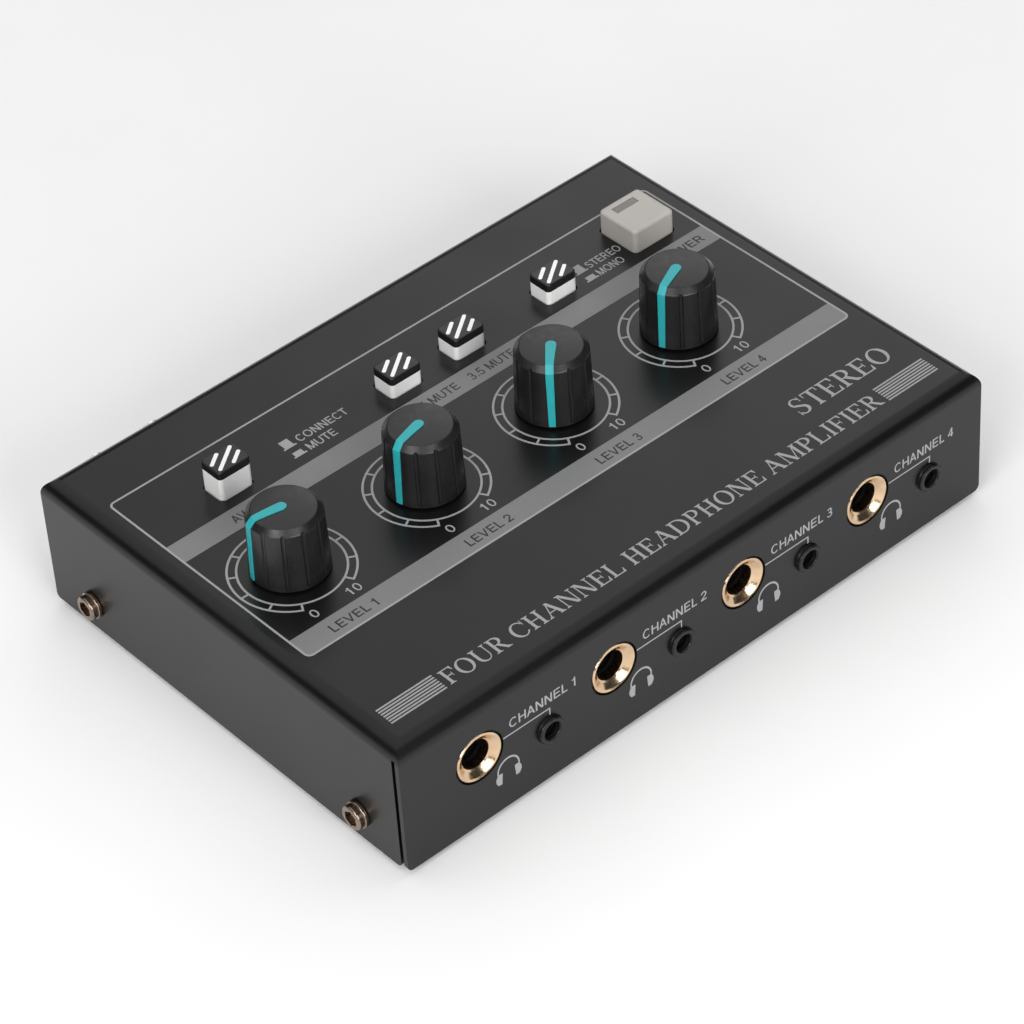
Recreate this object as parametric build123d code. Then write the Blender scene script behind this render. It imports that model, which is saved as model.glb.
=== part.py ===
"""Four-channel desktop headphone amplifier, as an assembly of separate pieces.

Millimetres, +Z up, +X along the front panel to the right, +Y towards the rear.
The origin is the bottom centre of the whole object's box, on the table.
Lengths below are measured from the middle of the case, and heights from its lower edge,
until save() moves each finished piece into the object's frame.
"""
import os
from math import atan, degrees

from build123d import *

# ---------------------------------------------------------------- driving dimensions
CASE_WIDTH = 150.0
CASE_DEPTH = 106.0
CASE_HEIGHT = 30.0
SHEET = 1.0                 # steel sheet of the cover and the bottom plate
FOLD_RADIUS = 3.4           # outside radius of the cover's folds
CORNER_SLIT = 0.9           # gap between neighbouring folded walls
FOOT_HEIGHT = 1.5

CHANNELS = 4
CHANNEL_PITCH = 33.3
KNOB_X = -56.4              # first knob; the others follow at the channel pitch
KNOB_Y = -0.8
PHONE_JACK_X = KNOB_X
MINI_JACK_X = -39.5
PHONE_AXIS_HEIGHT = 16.4
MINI_AXIS_HEIGHT = 12.15

POINTER_ANGLES = (168.0, 192.0, 225.0, 202.0)   # as set on the dials, from +X
MUTE_BUTTON_X = (-49.9, -7.1, 9.5, 34.0)
MUTE_BUTTON_Y = 25.8
MUTE_BUTTON_OUT = (True, False, False, False)   # the first stands out, the rest are latched in
BUTTON_TRAVEL = 2.0
POWER_BUTTON_X = 59.2
POWER_BUTTON_Y = 28.2

BOARD_TOP = 9.6             # component side of the main board
BOARD_THICKNESS = 1.6
BOARD_WIDTH = 140.0
BOARD_DEPTH = 101.0

# Sockets on the rear wall
AV_SOCKET_X = -50.0
AV_SOCKET_PITCH = 14.0
LINE_JACK_X = -22.0
LINE_MINI_X = 9.5
DC_INLET_X = 59.2
AV_AXIS_HEIGHT = 16.4
DC_AXIS_HEIGHT = 16.1
AV_SHELL_LENGTH = 8.5       # how far the AV sockets stand out of the rear wall

# Plug sizes: 6.35 mm and 3.5 mm phone plugs
PHONE_BORE_R = 3.25
PHONE_RING_R = 5.4
PHONE_HOLE_R = 5.75
PHONE_BODY_LENGTH = 30.0
PHONE_BODY_SIZE = 13.0
MINI_BORE_R = 1.85
MINI_BUSH_R = 3.0
MINI_HOLE_R = 3.1
MINI_PROUD = 0.95           # how far a 3.5 mm socket's bush stands out of the wall
MINI_BODY_LENGTH = 12.0

HALF_W = CASE_WIDTH / 2
HALF_D = CASE_DEPTH / 2
INSIDE_TOP = CASE_HEIGHT - SHEET
SHIFT_Y = (MINI_PROUD - AV_SHELL_LENGTH) / 2   # centres the whole object's box

KNOB_CENTRES = [(KNOB_X + CHANNEL_PITCH * i, KNOB_Y) for i in range(CHANNELS)]
BUTTON_CENTRES = [(x, MUTE_BUTTON_Y) for x in MUTE_BUTTON_X]


def save(name, *solids):
    """Write one node: its solids, moved into the object's frame."""
    place = Pos(0, SHIFT_Y, FOOT_HEIGHT)
    placed = [place * s for s in solids]
    node = placed[0] if len(placed) == 1 else Compound(children=placed)
    node.label = name
    export_step(node, f"parts/{name}.step")


ON_BASE = (Align.CENTER, Align.CENTER, Align.MIN)


def block(x0, x1, y0, y1, z0, z1):
    """A box given by its faces."""
    size = (x1 - x0, y1 - y0, z1 - z0)
    return Pos((x0 + x1) / 2, (y0 + y1) / 2, (z0 + z1) / 2) * Box(*size)


def column(x, y, z0, z1, radius):
    """A vertical cylinder."""
    return Pos(x, y, (z0 + z1) / 2) * Cylinder(radius, z1 - z0)


def rod_y(x, z, y0, y1, radius):
    """A cylinder along Y."""
    return Pos(x, (y0 + y1) / 2, z) * Rot(90, 0, 0) * Cylinder(radius, abs(y1 - y0))


def rod_x(y, z, x0, x1, radius):
    """A cylinder along X."""
    return Pos((x0 + x1) / 2, y, z) * Rot(0, 90, 0) * Cylinder(radius, abs(x1 - x0))


def rounded_block(x, y, width, depth, z0, z1, radius):
    """An upright block with rounded vertical edges."""
    outline = Pos(x, y, z0) * RectangleRounded(width, depth, radius)
    return extrude(outline, z1 - z0)


def turned(points, x, y, z):
    """A solid of revolution about a vertical axis, from (radius, height) points."""
    face = make_face(Polyline(*[(r, 0, h) for r, h in points], close=True))
    return Pos(x, y, z) * revolve(face, Axis.Z)


def edges_between(solid, low, high):
    """Circular edges whose height lies between two values."""
    round_edges = solid.edges().filter_by(GeomType.CIRCLE)
    return [e for e in round_edges if low < e.center().Z < high]


# ---------------------------------------------------------------- case
WALL_TOP = CASE_HEIGHT - FOLD_RADIUS - 0.2   # the walls are flat below this height
SLIT_TOP = CASE_HEIGHT - 2.7                 # a corner slit ends just inside the folds
COVER_EDGE_R = 1.4
SIDE_EDGE_R = 1.0
SIDE_SCREW_Y = 40.0
SIDE_SCREW_HEIGHT = 6.2
SCREW_CLEAR_R = 1.7
SHAFT_HOLE_R = 3.6
BUTTON_SIZE = (7.8, 5.95)
POWER_SIZE = 10.9
BUTTON_GAP = 0.35
BUTTON_CORNER_R = 0.9
POWER_CORNER_R = 1.0
AV_HOLE_R = 5.0
DC_HOLE_R = 4.1


def folded_shell():
    """The five-sided folded cover, before its holes are punched."""
    outer = block(-HALF_W, HALF_W, -HALF_D, HALF_D, 0, CASE_HEIGHT)
    top_edges = outer.faces().sort_by(Axis.Z)[-1].edges()
    outer = fillet(top_edges, FOLD_RADIUS)
    wall_x = HALF_W - SHEET
    wall_y = HALF_D - SHEET
    inner = block(-wall_x, wall_x, -wall_y, wall_y, -5, INSIDE_TOP)
    roof_edges = inner.faces().sort_by(Axis.Z)[-1].edges()
    inner = fillet(roof_edges, FOLD_RADIUS - SHEET)
    shell = outer - inner
    front_slit = block(wall_x - 0.1, HALF_W + 0.1, -wall_y, -wall_y + CORNER_SLIT, -1, SLIT_TOP)
    rear_slit = block(wall_x - CORNER_SLIT, wall_x, wall_y - 0.1, HALF_D + 0.1, -1, SLIT_TOP)
    for slit in (front_slit, rear_slit):
        shell -= slit
        shell -= mirror(slit, Plane.YZ)
    return shell


def round_lower_corners(shell):
    """Round the lower corners of the four walls, as sheet blanks are."""
    low = [e for e in shell.edges() if abs(e.center().Z) < 0.01]
    low = [e for e in low if abs(e.length - SHEET) < 0.01]
    ends = [e for e in low if abs(abs(e.center().X) - HALF_W) < 0.01]
    sides = [e for e in low if abs(abs(e.center().X) - (HALF_W - SHEET / 2)) < 0.01]
    shell = fillet(ends, COVER_EDGE_R)
    side_spots = [e.center() for e in sides]
    again = [e for e in shell.edges() if any((e.center() - c).length < 0.01 for c in side_spots)]
    return fillet(again, SIDE_EDGE_R)


def cover_holes():
    """Everything punched out of the cover."""
    holes = []
    roof = (INSIDE_TOP - 1, CASE_HEIGHT + 1)
    for x, y in KNOB_CENTRES:
        holes.append(column(x, y, *roof, SHAFT_HOLE_R))
    for x, y in BUTTON_CENTRES:
        width, depth = (s + 2 * BUTTON_GAP for s in BUTTON_SIZE)
        holes.append(rounded_block(x, y, width, depth, *roof, BUTTON_CORNER_R + BUTTON_GAP))
    power = POWER_SIZE + 2 * BUTTON_GAP
    corner = POWER_CORNER_R + BUTTON_GAP
    holes.append(rounded_block(POWER_BUTTON_X, POWER_BUTTON_Y, power, power, *roof, corner))
    front = (-HALF_D - 1, -HALF_D + 2)
    for i in range(CHANNELS):
        step = CHANNEL_PITCH * i
        holes.append(rod_y(PHONE_JACK_X + step, PHONE_AXIS_HEIGHT, *front, PHONE_HOLE_R))
        holes.append(rod_y(MINI_JACK_X + step, MINI_AXIS_HEIGHT, *front, MINI_HOLE_R))
    rear = (HALF_D - 2, HALF_D + 1)
    for side in (-1, 1):
        x = AV_SOCKET_X + side * AV_SOCKET_PITCH / 2
        holes.append(rod_y(x, AV_AXIS_HEIGHT, *rear, AV_HOLE_R))
    holes.append(rod_y(LINE_JACK_X, PHONE_AXIS_HEIGHT, *rear, PHONE_HOLE_R))
    holes.append(rod_y(LINE_MINI_X, MINI_AXIS_HEIGHT, *rear, MINI_HOLE_R))
    holes.append(rod_y(DC_INLET_X, DC_AXIS_HEIGHT, *rear, DC_HOLE_R))
    for x0, y in side_screw_spots():
        holes.append(rod_x(y, SIDE_SCREW_HEIGHT, x0 - 3, x0 + 3, SCREW_CLEAR_R))
    return holes


def side_screw_spots():
    """Outer wall position and Y of the four side screws."""
    return [(side * HALF_W, end * SIDE_SCREW_Y) for side in (-1, 1) for end in (-1, 1)]


def tiles(solid, cuts_x, height):
    """A wall cut across at a height and at each x, so that no hull spans a socket's hole."""
    edges_x = [-HALF_W, *cuts_x, HALF_W]
    levels = (0, height, WALL_TOP)
    pieces = []
    for x0, x1 in zip(edges_x, edges_x[1:]):
        for z0, z1 in zip(levels, levels[1:]):
            pieces.append(solid & block(x0, x1, -HALF_D, HALF_D, z0, z1))
    return pieces


def roof_and_walls(shell):
    """The folded cover as solids that meet face to face: its roof and its flat walls."""
    wall_x = HALF_W - SHEET
    wall_y = HALF_D - SHEET
    roof = block(-HALF_W, HALF_W, -HALF_D, HALF_D, WALL_TOP, CASE_HEIGHT)
    left = block(-HALF_W, -wall_x, -wall_y, HALF_D, 0, WALL_TOP)
    front = block(-HALF_W, HALF_W, -HALF_D, -wall_y, 0, WALL_TOP)
    rear = block(-wall_x, wall_x, wall_y, HALF_D, 0, WALL_TOP)
    front_cuts = [PHONE_JACK_X + CHANNEL_PITCH * i for i in range(CHANNELS)]
    half_pitch = AV_SOCKET_PITCH / 2
    rear_cuts = [AV_SOCKET_X - half_pitch, AV_SOCKET_X + half_pitch, LINE_JACK_X, DC_INLET_X]
    return [
        shell & roof,
        shell & left,
        shell & mirror(left, Plane.YZ),
        *tiles(shell & front, front_cuts, PHONE_AXIS_HEIGHT),
        *tiles(shell & rear, rear_cuts, PHONE_AXIS_HEIGHT),
    ]


def make_cover():
    shell = round_lower_corners(folded_shell())
    for hole in cover_holes():
        shell -= hole
    save("top_cover", *roof_and_walls(shell))


PLATE_LIP_HEIGHT = 11.0
SCREW_THREAD_R = 1.45
SCREW_TAPPED_R = 1.5


def make_bottom_plate():
    """A tray that closes the case from below; its side lips take the side screws."""
    wall = HALF_W - SHEET
    half_depth = HALF_D - SHEET - 0.3
    tray = block(-wall, wall, -half_depth, half_depth, 0, PLATE_LIP_HEIGHT)
    corner_edges = [e for e in tray.edges().filter_by(Axis.Y) if e.center().Z < 1]
    tray = fillet(corner_edges, 1.6)
    hollow = block(-wall + SHEET, wall - SHEET, -HALF_D, HALF_D, SHEET, PLATE_LIP_HEIGHT + 1)
    inner_edges = [e for e in hollow.edges().filter_by(Axis.Y) if e.center().Z < SHEET + 1]
    tray -= fillet(inner_edges, 0.6)
    for end in (-1, 1):
        y0, y1 = sorted((end * (half_depth - 1.6), end * (half_depth + 1)))
        tray -= block(-HALF_W, -wall + 1.8, y0, y1, -1, PLATE_LIP_HEIGHT + 1)
        tray -= block(wall - 1.8, HALF_W, y0, y1, -1, PLATE_LIP_HEIGHT + 1)
    for x0, y in side_screw_spots():
        tray -= rod_x(y, SIDE_SCREW_HEIGHT, x0 - 3, x0 + 3, SCREW_TAPPED_R)
    save("bottom_plate", tray)


SCREW_FLANGE_R = 2.9
SCREW_FLANGE_HEIGHT = 0.95
SCREW_HEAD_R = 2.6
SCREW_HEAD_HEIGHT = 2.25
SCREW_LENGTH = 6.0
SOCKET_DEPTH = 1.5
SOCKET_SIZE = 3.0           # across the flats of the hex socket


def side_screw():
    """A flanged socket screw along Z: head above, thread below, z = 0 under the head."""
    head = Cylinder(SCREW_HEAD_R, SCREW_HEAD_HEIGHT, align=ON_BASE)
    head = fillet(edges_between(head, SCREW_HEAD_HEIGHT - 0.1, SCREW_HEAD_HEIGHT + 0.1), 0.4)
    flange = Cylinder(SCREW_FLANGE_R, SCREW_FLANGE_HEIGHT, align=ON_BASE)
    flange = fillet(edges_between(flange, -0.1, SCREW_FLANGE_HEIGHT + 0.1), 0.25)
    head += flange
    socket = extrude(RegularPolygon(SOCKET_SIZE / 2, 6, major_radius=False), SOCKET_DEPTH)
    head -= Pos(0, 0, SCREW_HEAD_HEIGHT - SOCKET_DEPTH) * socket
    thread = Pos(0, 0, -SCREW_LENGTH / 2) * Cylinder(SCREW_THREAD_R, SCREW_LENGTH)
    return head + thread


def make_case_screws():
    screw = side_screw()
    placed = []
    for x0, y in side_screw_spots():
        lean = 90 if x0 > 0 else -90
        placed.append(Pos(x0, y, SIDE_SCREW_HEIGHT) * Rot(0, lean, 0) * screw)
    save("case_screws", *placed)


FOOT_RADIUS = 5.0
FOOT_X = 60.0
FOOT_Y = 40.0


def make_feet():
    feet = []
    for side in (-1, 1):
        for end in (-1, 1):
            foot = column(side * FOOT_X, end * FOOT_Y, -FOOT_HEIGHT, 0, FOOT_RADIUS)
            lower = edges_between(foot, -FOOT_HEIGHT - 0.1, -FOOT_HEIGHT + 0.1)
            feet.append(fillet(lower, 0.4))
    save("rubber_feet", *feet)


# ---------------------------------------------------------------- knobs and potentiometers
KNOB_GAP = 0.5              # between the panel and the knob's skirt
KNOB_BASE_R = 7.85
KNOB_SHOULDER_R = 7.45
KNOB_SHOULDER_HEIGHT = 13.5
KNOB_RIM_R = 6.3            # edge of the slightly domed top; a bevel runs down to the shoulder
KNOB_RIM_HEIGHT = 14.75
KNOB_CROWN_HEIGHT = 15.05
KNOB_RECESS_R = 6.6         # the hollow under the knob, clear of the shaft's nut
KNOB_RECESS_DEPTH = 1.0
KNOB_FLUTES = 12            # pitch of the side grooves; the pointer takes one place
FLUTE_R = 0.5
FLUTE_DEPTH = 0.35
FLUTE_BOTTOM = 1.0
FLUTE_TOP = 16.0            # above the knob's top
SHAFT_R = 3.0
SHAFT_FLAT = 1.5            # from the axis to the shaft's flat
SHAFT_TOP = CASE_HEIGHT + 11.0
POT_SIZE = (9.8, 11.0)
POT_HEIGHT = 10.0
POT_COLLAR_R = 4.6
POT_COLLAR_TOP = 25.0
POT_BORE_R = SHAFT_R + 0.05
SHAFT_BOTTOM = 13.0


def knob_blank(grow, base):
    """The knob's outer form about the Z axis, offset outwards by a margin."""
    crown = KNOB_CROWN_HEIGHT + grow
    rim_r = KNOB_RIM_R + 0.44 * grow
    rim = KNOB_RIM_HEIGHT + grow
    shoulder = KNOB_SHOULDER_HEIGHT + 0.40 * grow
    dome = ThreePointArc((0, 0, crown), (rim_r / 2, 0, crown - (crown - rim) / 4), (rim_r, 0, rim))
    side = Polyline(
        (rim_r, 0, rim),
        (KNOB_SHOULDER_R + grow, 0, shoulder),
        (KNOB_BASE_R + grow, 0, base),
        (0, 0, base),
        (0, 0, crown),
    )
    blank = revolve(make_face(dome + side), Axis.Z)
    if grow >= 0:
        blank = fillet(edges_between(blank, rim - 0.05, rim + 0.05), 0.35)
        blank = fillet(edges_between(blank, shoulder - 0.05, shoulder + 0.05), 0.4)
    return Pos(0, 0, CASE_HEIGHT) * blank


POINTER_PROUD = 0.22
POINTER_DEPTH = 0.9
POINTER_START = 0.5         # centre of the pointer's rounded inner end, from the axis
POINTER_HALF_WIDTHS = (1.05, 0.79, 0.66)   # at its inner end, at the shoulder, at the skirt
POINTER_BOTTOM = KNOB_GAP + 0.3


def pointer_slab():
    """The pointer's plan and side outline as a thick slab along +X from the axis."""
    inner, middle, lower = POINTER_HALF_WIDTHS
    start = POINTER_START
    reach = KNOB_BASE_R + 2
    low = POINTER_BOTTOM
    high = KNOB_CROWN_HEIGHT + 1
    plan = make_face(Polyline(
        (start, -inner), (KNOB_RIM_R, -middle), (reach, -middle),
        (reach, middle), (KNOB_RIM_R, middle), (start, inner), close=True))
    above = extrude(plan, high) + Pos(start, 0, 0) * Cylinder(inner, high, align=ON_BASE)
    side = Plane.YZ * make_face(Polyline(
        (-lower, low), (lower, low), (middle, KNOB_SHOULDER_HEIGHT), (middle + 0.3, high),
        (-middle - 0.3, high), (-middle, KNOB_SHOULDER_HEIGHT), close=True))
    side = extrude(side, reach)
    top_part = above & block(-2, KNOB_SHOULDER_R - 0.6, -3, 3, KNOB_SHOULDER_HEIGHT - 2, high)
    side_part = above & side & block(KNOB_RIM_R - 0.9, reach, -3, 3, low, high)
    return top_part + side_part


def make_pointer_at_origin():
    """The inlaid pointer: a band that follows the knob's top and side."""
    slab = Pos(0, 0, CASE_HEIGHT) * pointer_slab()
    skin = knob_blank(POINTER_PROUD, KNOB_GAP) - knob_blank(-POINTER_DEPTH, KNOB_GAP - 1)
    return slab & skin


def shaft_section(radius):
    """The D-shaped section of a potentiometer shaft, its flat towards +X."""
    cut = Pos(SHAFT_FLAT + radius, 0) * Rectangle(2 * radius, 4 * radius)
    return Circle(radius) - cut


def knob_flute():
    """One side groove's cutter, at the angle of the pointer; it runs out over the shoulder."""
    lean = degrees(atan((KNOB_BASE_R - KNOB_SHOULDER_R) / (KNOB_SHOULDER_HEIGHT - KNOB_GAP)))
    axis_r = (KNOB_BASE_R + KNOB_SHOULDER_R) / 2 + FLUTE_R - FLUTE_DEPTH
    middle = CASE_HEIGHT + (FLUTE_TOP + FLUTE_BOTTOM) / 2
    bar = Cylinder(FLUTE_R, FLUTE_TOP - FLUTE_BOTTOM)
    return Pos(axis_r, 0, middle) * Rot(0, -lean, 0) * bar


def make_knobs():
    pointer = make_pointer_at_origin()
    skirt = CASE_HEIGHT + KNOB_GAP
    recess = column(0, 0, skirt - 1, skirt + KNOB_RECESS_DEPTH, KNOB_RECESS_R)
    socket_depth = SHAFT_TOP - CASE_HEIGHT
    socket = Pos(0, 0, CASE_HEIGHT) * extrude(shaft_section(SHAFT_R), socket_depth)
    knob = knob_blank(0, KNOB_GAP) - recess - socket - pointer
    flute = knob_flute()
    for n in range(1, KNOB_FLUTES):
        knob -= Rot(0, 0, n * 360.0 / KNOB_FLUTES) * flute
    for i, (x, y) in enumerate(KNOB_CENTRES):
        place = Pos(x, y, 0) * Rot(0, 0, POINTER_ANGLES[i])
        save(f"knob_{i + 1}", place * knob)
        save(f"pointer_{i + 1}", place * pointer)


def make_potentiometers():
    for i, (x, y) in enumerate(KNOB_CENTRES):
        width, depth = POT_SIZE
        body_top = BOARD_TOP + POT_HEIGHT
        body = block(x - width / 2, x + width / 2, y - depth / 2, y + depth / 2, BOARD_TOP, body_top)
        body += column(x, y, body_top, POT_COLLAR_TOP, POT_COLLAR_R)
        body -= column(x, y, SHAFT_BOTTOM - 0.4, POT_COLLAR_TOP + 1, POT_BORE_R)
        save(f"pot_body_{i + 1}", body)
        lower = column(0, 0, SHAFT_BOTTOM, CASE_HEIGHT, SHAFT_R)
        upper = Pos(0, 0, CASE_HEIGHT) * extrude(shaft_section(SHAFT_R), SHAFT_TOP - CASE_HEIGHT)
        shaft = Pos(x, y, 0) * Rot(0, 0, POINTER_ANGLES[i]) * (lower + upper)
        save(f"pot_shaft_{i + 1}", shaft)


# ---------------------------------------------------------------- push buttons
BUTTON_WHITE_TOP = CASE_HEIGHT + 4.9     # of a button that stands out
BUTTON_LID = 1.75
BUTTON_FLANGE_TOP = INSIDE_TOP - 0.3     # the flange keeps the button inside the cover
BUTTON_FLANGE = 0.8
BUTTON_BOTTOM = BUTTON_FLANGE_TOP - 3.0
BAR_HALF_WIDTH = 0.4
BAR_TILT = 36.0
BAR_LAYOUT = ((-1.8, 1.09, 3.2), (0.0, 0.0, 6.8), (1.8, -1.09, 3.2))   # x, y, length
SWITCH_SIZE = 8.0
SWITCH_TOP = BOARD_TOP + 7.5
PLUNGER_SIZE = 3.0
PLUNGER_BOTTOM = BOARD_TOP + 5.6         # of a button that stands out
SWITCH_WELL = BOARD_TOP + 2.2


def light_bars(z0, z1):
    """The three slanting light windows of a button's lid, as upright solids."""
    bars = []
    for x, y, length in BAR_LAYOUT:
        outline = SlotCenterToCenter(length, 2 * BAR_HALF_WIDTH)
        bars.append(Pos(x, y, z0) * Rot(0, 0, BAR_TILT) * extrude(outline, z1 - z0))
    return bars


def make_mute_buttons():
    width, depth = BUTTON_SIZE
    top = BUTTON_WHITE_TOP
    base = rounded_block(0, 0, width, depth, BUTTON_BOTTOM, top, BUTTON_CORNER_R)
    flange_low = BUTTON_FLANGE_TOP - BUTTON_FLANGE
    base += rounded_block(0, 0, width + 1.8, depth + 1.8, flange_low, BUTTON_FLANGE_TOP, 0.5)
    plunger_top = BUTTON_BOTTOM + 4.0
    half = PLUNGER_SIZE / 2
    base -= block(-half, half, -half, half, BUTTON_BOTTOM - 1, plunger_top)
    lid = rounded_block(0, 0, width, depth, top, top + BUTTON_LID, BUTTON_CORNER_R)
    lid = fillet(lid.faces().sort_by(Axis.Z)[-1].edges(), 0.35)
    for bar in light_bars(top, top + BUTTON_LID):
        base += bar
        lid -= bar
    plunger = block(-half, half, -half, half, PLUNGER_BOTTOM, plunger_top)
    for i, (x, y) in enumerate(BUTTON_CENTRES):
        drop = 0.0 if MUTE_BUTTON_OUT[i] else -BUTTON_TRAVEL
        place = Pos(x, y, drop)
        save(f"button_base_{i + 1}", place * base)
        save(f"button_lid_{i + 1}", place * lid)
        save(f"button_plunger_{i + 1}", place * plunger)


def make_switch_bodies():
    """The four latching switches under the mute and mono buttons."""
    bodies = []
    well = (PLUNGER_SIZE + 0.6) / 2
    half = SWITCH_SIZE / 2
    for x, y in BUTTON_CENTRES:
        body = block(x - half, x + half, y - half, y + half, BOARD_TOP, SWITCH_TOP)
        body -= block(x - well, x + well, y - well, y + well, SWITCH_WELL, SWITCH_TOP + 1)
        bodies.append(body)
    save("switch_bodies", *bodies)


POWER_TOP = CASE_HEIGHT + 5.2
POWER_BOTTOM = INSIDE_TOP - 3.3
WINDOW_SIZE = (6.0, 2.0)
WINDOW_DEPTH = 0.8
WINDOW_OFFSET = (-0.5, 2.7)
POWER_SWITCH_SIZE = 11.0
POWER_SWITCH_TOP = BOARD_TOP + 8.5
POWER_PLUNGER_SIZE = 4.0


def make_power_button():
    x, y = POWER_BUTTON_X, POWER_BUTTON_Y
    button = rounded_block(x, y, POWER_SIZE, POWER_SIZE, POWER_BOTTOM, POWER_TOP, POWER_CORNER_R)
    button = fillet(button.faces().sort_by(Axis.Z)[-1].edges(), 0.75)
    flange = POWER_SIZE + 1.8
    flange_low = BUTTON_FLANGE_TOP - BUTTON_FLANGE
    button += rounded_block(x, y, flange, flange, flange_low, BUTTON_FLANGE_TOP, 0.8)
    wx, wy = x + WINDOW_OFFSET[0], y + WINDOW_OFFSET[1]
    recess = rounded_block(wx, wy, *WINDOW_SIZE, POWER_TOP - WINDOW_DEPTH, POWER_TOP + 1, 0.15)
    window = rounded_block(wx, wy, *WINDOW_SIZE, POWER_TOP - WINDOW_DEPTH, POWER_TOP - 0.08, 0.15)
    half = POWER_PLUNGER_SIZE / 2
    plunger_top = POWER_BOTTOM + 4.0
    socket = block(x - half, x + half, y - half, y + half, POWER_BOTTOM - 1, plunger_top)
    save("power_button", button - recess - socket)
    save("power_window", window)
    save("power_plunger", block(x - half, x + half, y - half, y + half, PLUNGER_BOTTOM, plunger_top))
    body_half = POWER_SWITCH_SIZE / 2
    well = half + 0.3
    body = block(x - body_half, x + body_half, y - body_half, y + body_half, BOARD_TOP, POWER_SWITCH_TOP)
    body -= block(x - well, x + well, y - well, y + well, SWITCH_WELL, POWER_SWITCH_TOP + 1)
    save("power_switch_body", body)


# ---------------------------------------------------------------- sockets
RING_DISH_DEPTH = 1.0
RING_DISH_R = 4.7
RING_LIP_R = 5.0            # crest of the rounded lip round the dish
RING_MOUTH_R = 3.65
RING_MOUTH_CHAMFER = 0.25
RING_TUBE_R = 4.4
RING_LENGTH = 3.2
MINI_COUNTERSINK = 0.3
WALL_CLEARANCE = 0.1        # between a socket's body and the wall in front of it


def facing(x, end):
    """Turns a piece made along -Z, mouth up, to look out of the front (-1) or rear (+1) wall."""
    tip = 90 if end < 0 else -90
    return Pos(x, end * HALF_D, 0) * Rot(tip, 0, 0)


def phone_ring():
    """The gilt bush of a 6.35 mm socket, mouth at z = 0 and looking along +Z."""
    points = [
        (PHONE_BORE_R, -RING_LENGTH),
        (RING_TUBE_R, -RING_LENGTH),
        (RING_TUBE_R, -SHEET - WALL_CLEARANCE),
        (PHONE_RING_R, -SHEET - WALL_CLEARANCE),
        (PHONE_RING_R, -0.3),
        (PHONE_RING_R - 0.15, -0.08),
        (RING_LIP_R, 0),
        (RING_DISH_R, -0.15),
        (RING_MOUTH_R, -RING_DISH_DEPTH),
        (PHONE_BORE_R, -RING_DISH_DEPTH - RING_MOUTH_CHAMFER),
    ]
    return turned(points, 0, 0, 0)


def phone_body():
    """The moulded body of a 6.35 mm socket, behind the wall; its mouth looks along +Z."""
    near = -SHEET - WALL_CLEARANCE
    far = near - PHONE_BODY_LENGTH
    half = PHONE_BODY_SIZE / 2
    below = PHONE_AXIS_HEIGHT - BOARD_TOP
    body = block(-half, half, -below, PHONE_BODY_SIZE - below, far, near)
    body = chamfer(body.edges().filter_by(Axis.Z), 0.6)
    bore = Pos(0, 0, (far + near) / 2) * Cylinder(PHONE_BORE_R, PHONE_BODY_LENGTH + 2)
    seat = Pos(0, 0, (near - RING_LENGTH) / 2) * Cylinder(RING_TUBE_R, near + RING_LENGTH)
    return body - bore - seat


def mini_socket():
    """A 3.5 mm socket with its round bush; its mouth looks along +Z."""
    near = -SHEET - WALL_CLEARANCE
    far = near - MINI_BODY_LENGTH
    below = MINI_AXIS_HEIGHT - BOARD_TOP
    body = block(-3.25, 3.25, -below, 5.4 - below, far, near)
    bush = Pos(0, 0, (MINI_PROUD + near) / 2) * Cylinder(MINI_BUSH_R, MINI_PROUD - near)
    bush = chamfer(edges_between(bush, MINI_PROUD - 0.1, MINI_PROUD + 0.1), 0.25)
    bore = Pos(0, 0, far / 2) * Cylinder(MINI_BORE_R, 40)
    mouth_r = MINI_BORE_R + MINI_COUNTERSINK
    mouth = Cone(MINI_BORE_R, mouth_r, MINI_COUNTERSINK, align=ON_BASE)
    return body + bush - bore - Pos(0, 0, MINI_PROUD - MINI_COUNTERSINK) * mouth


def upright(piece, height, x, end):
    """Stands a socket made along Z in the wall, its underside still towards the board."""
    flip = Rot(0, 0, 0) if end < 0 else Rot(0, 0, 180)
    return Pos(0, 0, height) * facing(x, end) * flip * piece


def make_front_sockets():
    ring, body, mini = phone_ring(), phone_body(), mini_socket()
    for i in range(CHANNELS):
        step = CHANNEL_PITCH * i
        save(f"phone_ring_{i + 1}", upright(ring, PHONE_AXIS_HEIGHT, PHONE_JACK_X + step, -1))
        save(f"phone_jack_{i + 1}", upright(body, PHONE_AXIS_HEIGHT, PHONE_JACK_X + step, -1))
        save(f"mini_jack_{i + 1}", upright(mini, MINI_AXIS_HEIGHT, MINI_JACK_X + step, -1))


AV_SHELL_R = 4.15
AV_COLLAR_R = 4.9            # of the shell where it passes through the wall
AV_SHELL_WALL = 0.5
AV_PIN_R = 1.65
AV_FLANGE = (28.0, 12.6)
DC_BORE_R = 2.9
DC_PIN_R = 1.0


def make_rear_sockets():
    save("line_ring", upright(phone_ring(), PHONE_AXIS_HEIGHT, LINE_JACK_X, 1))
    save("line_jack", upright(phone_body(), PHONE_AXIS_HEIGHT, LINE_JACK_X, 1))
    save("line_mini_jack", upright(mini_socket(), MINI_AXIS_HEIGHT, LINE_MINI_X, 1))
    make_av_sockets()
    make_dc_inlet()


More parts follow.
